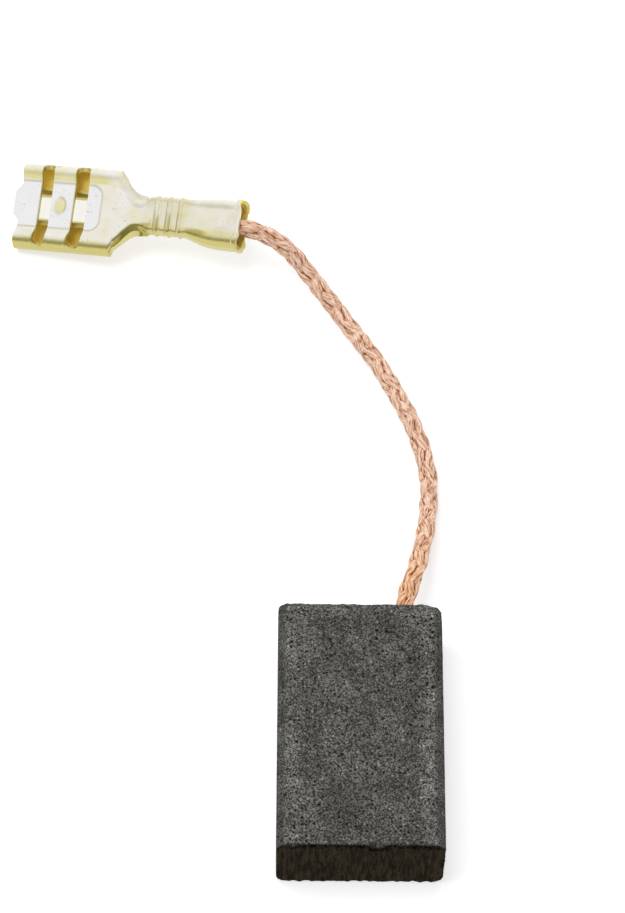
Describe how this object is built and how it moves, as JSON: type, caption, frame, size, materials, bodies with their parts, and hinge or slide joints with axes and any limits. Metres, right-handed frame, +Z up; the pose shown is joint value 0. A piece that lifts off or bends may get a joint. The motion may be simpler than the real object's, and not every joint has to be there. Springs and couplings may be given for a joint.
{
  "type": "carbon brush",
  "caption": "Rectangular carbon-graphite motor brush with a braided copper shunt tamped into one end and a folded brass push-on receptacle crimped to its free end.",
  "frame": {"origin": "middle of the block's lower large face, on the surface that the brush lies on", "axes": "+X across the block's width, +Y along the block from its running face to its shunt end, +Z up through its thickness"},
  "size_m": [0.0347, 0.063, 0.0063],
  "materials": {
    "carbon": "sintered granular, matt, with fine pores",
    "copper_powder": "tamped powder, matt",
    "copper_braid": "bright fine wires, braided",
    "brass_sheet": "stamped and folded sheet, bright"
  },
  "bodies": {
    "root": {"carbon_block": "carbon", "tamping_plug": "copper_powder", "shunt_braid": "copper_braid", "push_on_terminal": "brass_sheet"}
  },
  "joints": []
}
